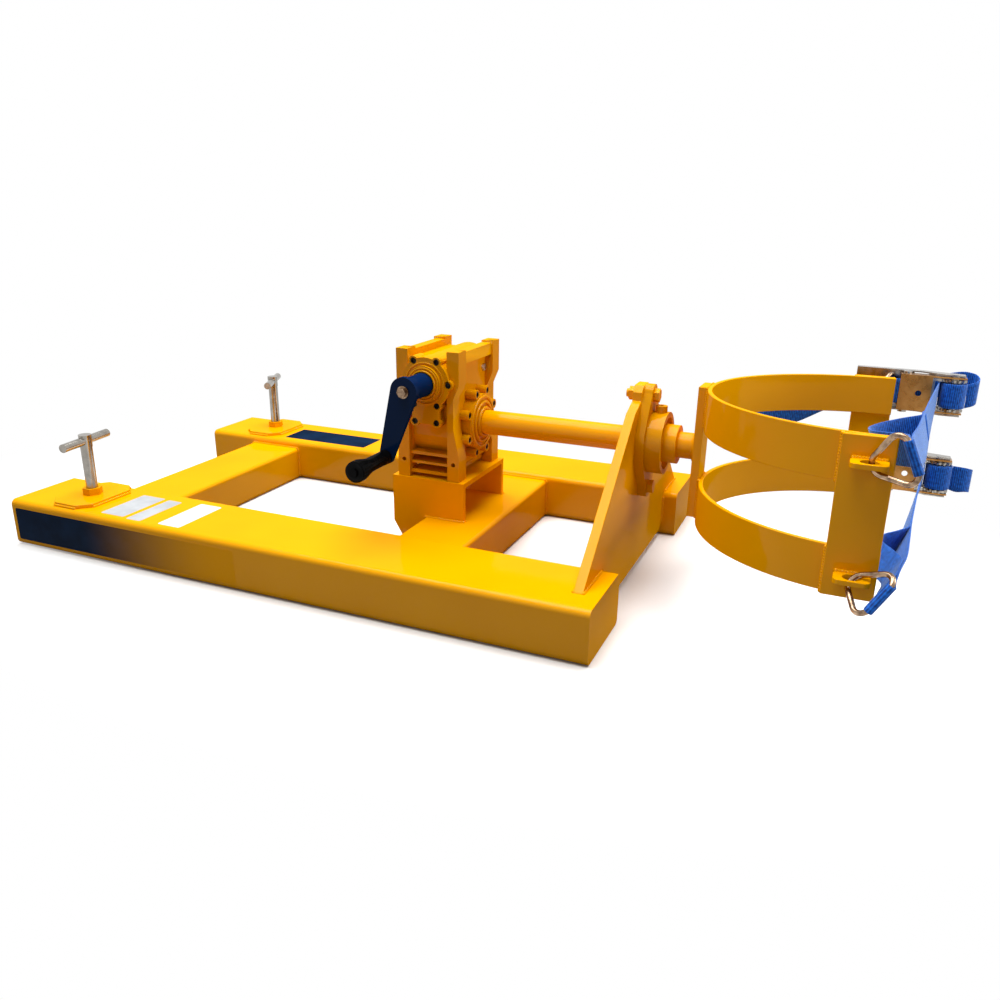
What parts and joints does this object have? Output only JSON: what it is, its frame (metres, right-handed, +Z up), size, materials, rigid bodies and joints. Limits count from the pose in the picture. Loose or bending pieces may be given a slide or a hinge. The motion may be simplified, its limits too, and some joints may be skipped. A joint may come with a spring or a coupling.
{
  "type": "fork mounted drum tipper",
  "caption": "Fork mounted drum tipper: tubular frame with fork pockets, hand cranked worm gearbox, turning shaft and a drum clamp of steel hoops with ratchet straps.",
  "frame": {"origin": "floor level, midway between the open mouths of the two fork tubes at the rear", "axes": "+X from the fork mouths towards the drum clamp, +Z up, +Y to the ratchet side, away from the crank"},
  "size_m": [1.8731, 0.853, 0.436],
  "materials": {
    "yellow_paint": "glossy enamel",
    "navy_paint": "glossy",
    "black_plastic": "satin moulded",
    "bright_zinc": "zinc plated",
    "yellow_zinc": "yellow passivated zinc",
    "dark_screws": "part painted",
    "gear_steel": "ground",
    "gear_bronze": "machined",
    "blue_webbing": "woven polyester"
  },
  "bodies": {
    "frame": {"near_fork_tube": "yellow_paint", "far_fork_tube": "yellow_paint", "tube_end_caps": "yellow_paint", "rear_cross_tube": "yellow_paint", "middle_cross_tube": "yellow_paint", "front_plate": "yellow_paint", "gearbox_bracket": "yellow_paint", "screw_base_plates": "yellow_paint", "clamp_nuts": "yellow_paint", "gearbox_casing": "yellow_paint", "gearbox_covers": "yellow_paint", "input_cover": "yellow_paint", "worm_bearings": "gear_steel", "wheel_bearings": "gear_steel", "cover_screws": "dark_screws", "gearbox_bolts": "bright_zinc", "oil_plugs": "dark_screws", "bearing_housing": "yellow_paint", "bearing_outer_ring": "gear_steel", "flange_bolts": "yellow_paint", "flange_nuts": "yellow_paint"},
    "clamp": {"drive_shaft": "yellow_paint", "worm_wheel": "gear_bronze", "shaft_key": "gear_steel", "bearing_inner_ring": "gear_steel", "spine_plate": "yellow_paint", "upper_hoop": "yellow_paint", "lower_hoop": "yellow_paint", "end_plates": "yellow_paint", "strap_lugs": "yellow_paint", "upper_strap": "blue_webbing", "lower_strap": "blue_webbing", "anchor_loops": "blue_webbing", "upper_ratchet_frame": "bright_zinc", "lower_ratchet_frame": "bright_zinc", "anchor_bolts": "bright_zinc"},
    "crank": {"worm_shaft": "gear_steel", "crank_hub": "navy_paint", "crank_arm": "navy_paint", "crank_bolt": "bright_zinc", "grip_pin": "bright_zinc"},
    "crank_grip": {"grip": "black_plastic"},
    "near_screw": {"near_clamp_screw": "bright_zinc"},
    "near_tee": {"near_tee_bar": "bright_zinc"},
    "far_screw": {"far_clamp_screw": "bright_zinc"},
    "far_tee": {"far_tee_bar": "bright_zinc"},
    "upper_near_link": {"upper_near_ring": "yellow_zinc"},
    "upper_far_link": {"upper_far_ring": "yellow_zinc"},
    "upper_spool": {"upper_ratchet_spool": "bright_zinc", "upper_webbing_roll": "blue_webbing"},
    "upper_handle": {"upper_ratchet_handle": "bright_zinc"},
    "upper_drive": {"upper_drive_pawl": "bright_zinc"},
    "upper_lock": {"upper_lock_pawl": "bright_zinc"},
    "lower_near_link": {"lower_near_ring": "yellow_zinc"},
    "lower_far_link": {"lower_far_ring": "yellow_zinc"},
    "lower_spool": {"lower_ratchet_spool": "bright_zinc", "lower_webbing_roll": "blue_webbing"},
    "lower_handle": {"lower_ratchet_handle": "bright_zinc"},
    "lower_drive": {"lower_drive_pawl": "bright_zinc"},
    "lower_lock": {"lower_lock_pawl": "bright_zinc"}
  },
  "joints": [
    {"name": "clamp_turn", "type": "hinge", "parent": "frame", "child": "clamp", "pos_m": [0, 0, 0.279], "axis": [1, 0, 0], "continuous": true},
    {"name": "crank_turn", "type": "hinge", "parent": "frame", "child": "crank", "pos_m": [0.838, 0, 0.372], "axis": [0, 1, 0], "continuous": true},
    {"name": "grip_spin", "type": "hinge", "parent": "crank", "child": "crank_grip", "pos_m": [0.7965, 0, 0.24039], "axis": [0, 1, 0], "continuous": true},
    {"name": "near_screw_travel", "type": "slide", "parent": "frame", "child": "near_screw", "axis": [0, 0, 1], "range_m": [-0.045, 0.01]},
    {"name": "near_tee_turn", "type": "hinge", "parent": "near_screw", "child": "near_tee", "pos_m": [0.142, -0.3205, 0.2], "axis": [0, 0, 1], "continuous": true},
    {"name": "far_screw_travel", "type": "slide", "parent": "frame", "child": "far_screw", "axis": [0, 0, 1], "range_m": [-0.054, 0.001]},
    {"name": "far_tee_turn", "type": "hinge", "parent": "far_screw", "child": "far_tee", "pos_m": [0.142, 0.3205, 0.2], "axis": [0, 0, 1], "continuous": true},
    {"name": "upper_near_ring_swing", "type": "hinge", "parent": "clamp", "child": "upper_near_link", "pos_m": [1.658, -0.33514, 0.37471], "axis": [0, 0.0436, 0.999], "range_deg": [-10, 10], "deforming": ["upper_strap"]},
    {"name": "upper_far_ring_swing", "type": "hinge", "parent": "clamp", "child": "upper_far_link", "pos_m": [1.658, 0.34221, 0.34514], "axis": [0, 0.0436, 0.999], "range_deg": [-2, 2], "deforming": ["anchor_loops"]},
    {"name": "upper_spool_turn", "type": "hinge", "parent": "clamp", "child": "upper_spool", "pos_m": [1.806, 0.39992, 0.34262], "axis": [0, 0.0436, 0.999], "continuous": true, "deforming": ["upper_strap"]},
    {"name": "upper_handle_swing", "type": "hinge", "parent": "clamp", "child": "upper_handle", "pos_m": [1.806, 0.39992, 0.34262], "axis": [0, -0.0436, -0.999], "range_deg": [0, 105], "deforming": ["upper_strap"]},
    {"name": "upper_drive_pull", "type": "slide", "parent": "upper_handle", "child": "upper_drive", "axis": [-1, 0, 0], "range_m": [0, 0.006], "stiffness_N_per_m": 400},
    {"name": "upper_lock_pull", "type": "slide", "parent": "clamp", "child": "upper_lock", "axis": [-1, 0, 0], "range_m": [0, 0.006], "stiffness_N_per_m": 400},
    {"name": "lower_near_ring_swing", "type": "hinge", "parent": "clamp", "child": "lower_near_link", "pos_m": [1.658, -0.34273, 0.20087], "axis": [0, 0.0436, 0.999], "range_deg": [-10, 10], "deforming": ["lower_strap"]},
    {"name": "lower_far_ring_swing", "type": "hinge", "parent": "clamp", "child": "lower_far_link", "pos_m": [1.658, 0.33462, 0.1713], "axis": [0, 0.0436, 0.999], "range_deg": [-2, 2], "deforming": ["anchor_loops"]},
    {"name": "lower_spool_turn", "type": "hinge", "parent": "clamp", "child": "lower_spool", "pos_m": [1.806, 0.39233, 0.16878], "axis": [0, 0.0436, 0.999], "continuous": true, "deforming": ["lower_strap"]},
    {"name": "lower_handle_swing", "type": "hinge", "parent": "clamp", "child": "lower_handle", "pos_m": [1.806, 0.39233, 0.16878], "axis": [0, -0.0436, -0.999], "range_deg": [0, 105], "deforming": ["lower_strap"]},
    {"name": "lower_drive_pull", "type": "slide", "parent": "lower_handle", "child": "lower_drive", "axis": [-1, 0, 0], "range_m": [0, 0.006], "stiffness_N_per_m": 400},
    {"name": "lower_lock_pull", "type": "slide", "parent": "clamp", "child": "lower_lock", "axis": [-1, 0, 0], "range_m": [0, 0.006], "stiffness_N_per_m": 400}
  ],
  "couplings": [
    {"joint": "crank_turn", "follows": "clamp_turn", "ratio": 40},
    {"joint": "near_tee_turn", "follows": "near_screw_travel", "rad_per_m": 2094.4},
    {"joint": "far_tee_turn", "follows": "far_screw_travel", "rad_per_m": 2094.4}
  ]
}
